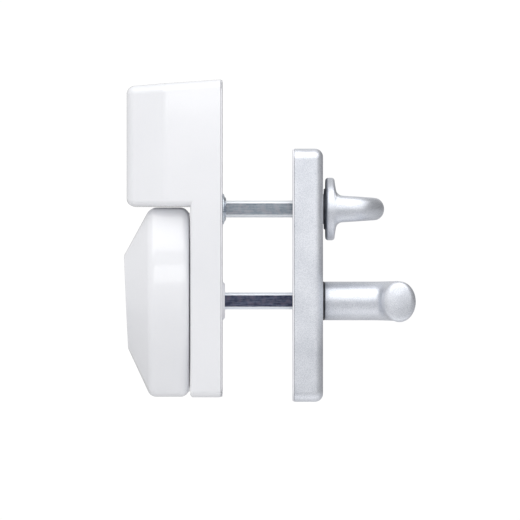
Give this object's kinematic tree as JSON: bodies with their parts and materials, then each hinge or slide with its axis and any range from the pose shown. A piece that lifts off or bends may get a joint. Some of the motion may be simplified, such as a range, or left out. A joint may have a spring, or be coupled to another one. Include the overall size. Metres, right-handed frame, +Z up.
{
  "type": "keyed leaf lock",
  "caption": "Two-sided keyed lock for a door or window leaf: cast outer unit with key tower and turning guard, inner unit with lever and thumb-turn, joined by square bars through the leaf.",
  "frame": {"origin": "centre of the outer unit's seat on the leaf, midway between the two drive bars", "axes": "+X through the leaf from outside to inside, +Z up towards the key tower, +Y completes a right-handed frame, away from the lever's grip"},
  "size_m": [0.1382, 0.088, 0.1533],
  "materials": {
    "white_enamel": "smooth satin powder coat on a zinc casting",
    "silver_lacquer": "fine-grained satin silver lacquer on a zinc casting",
    "zinc_plate": "bright zinc-plated steel",
    "drawn_steel": "drawn steel, grain along the bar, with lighter bevelled corners",
    "dark_steel": "blued drawn steel, grain along the bar",
    "pale_acetal": "moulded, matt",
    "black_nylon": "moulded, matt",
    "grey_pad": "thin closed-cell pad",
    "brass_plug": "turned, satin"
  },
  "bodies": {
    "housing": {"outer_body": "white_enamel", "back_cover": "zinc_plate", "back_gasket": "grey_pad", "guard_bush": "pale_acetal", "rear_bush": "pale_acetal", "detent_leaf": "dark_steel", "detent_screw": "zinc_plate", "bolt_keeper": "zinc_plate", "keeper_screw_1": "zinc_plate", "keeper_screw_2": "zinc_plate", "rotor_bush": "pale_acetal", "cylinder_shell": "zinc_plate", "cylinder_clip": "dark_steel", "cover_screw_1": "zinc_plate", "cover_screw_2": "zinc_plate", "cover_screw_3": "zinc_plate", "cover_screw_4": "zinc_plate", "inner_plate": "silver_lacquer", "inner_base": "zinc_plate", "inner_gasket": "grey_pad", "lever_bush": "pale_acetal", "thumb_bush": "pale_acetal", "base_screw_1": "zinc_plate", "base_screw_2": "zinc_plate"},
    "guard": {"swing_guard": "white_enamel", "guard_hub": "zinc_plate", "guard_screw_1": "zinc_plate", "guard_screw_2": "zinc_plate", "guard_screw_3": "zinc_plate", "index_disc": "zinc_plate", "hub_clip": "dark_steel", "lower_bar": "dark_steel", "lever": "silver_lacquer", "lever_washer": "black_nylon", "lever_clip": "dark_steel", "lever_grub_screw": "dark_steel"},
    "thumb": {"thumb_turn": "silver_lacquer", "thumb_clip": "dark_steel", "upper_bar": "drawn_steel", "upper_rotor": "zinc_plate", "bar_retainer": "zinc_plate"},
    "bolt": {"locking_bolt": "drawn_steel"},
    "key_plug": {"cylinder_plug": "brass_plug", "plug_cam": "zinc_plate", "cam_screw": "zinc_plate"}
  },
  "joints": [
    {"name": "guard_turn", "type": "hinge", "parent": "housing", "child": "guard", "pos_m": [0, 0, -0.022], "axis": [1, 0, 0], "range_deg": [0, 90], "deforming": ["detent_leaf"]},
    {"name": "thumb_turn", "type": "hinge", "parent": "housing", "child": "thumb", "pos_m": [0, 0, 0.022], "axis": [1, 0, 0], "range_deg": [0, 90]},
    {"name": "bolt_slide", "type": "slide", "parent": "housing", "child": "bolt", "axis": [0, 0, -1], "range_m": [0, 0.00708]},
    {"name": "key_turn", "type": "hinge", "parent": "housing", "child": "key_plug", "pos_m": [0, 0, 0.054], "axis": [1, 0, 0], "range_deg": [0, 90]}
  ],
  "couplings": [
    {"joint": "bolt_slide", "follows": "thumb_turn", "m_per_rad": 0.0045015},
    {"joint": "key_turn", "follows": "thumb_turn", "ratio": 1}
  ]
}
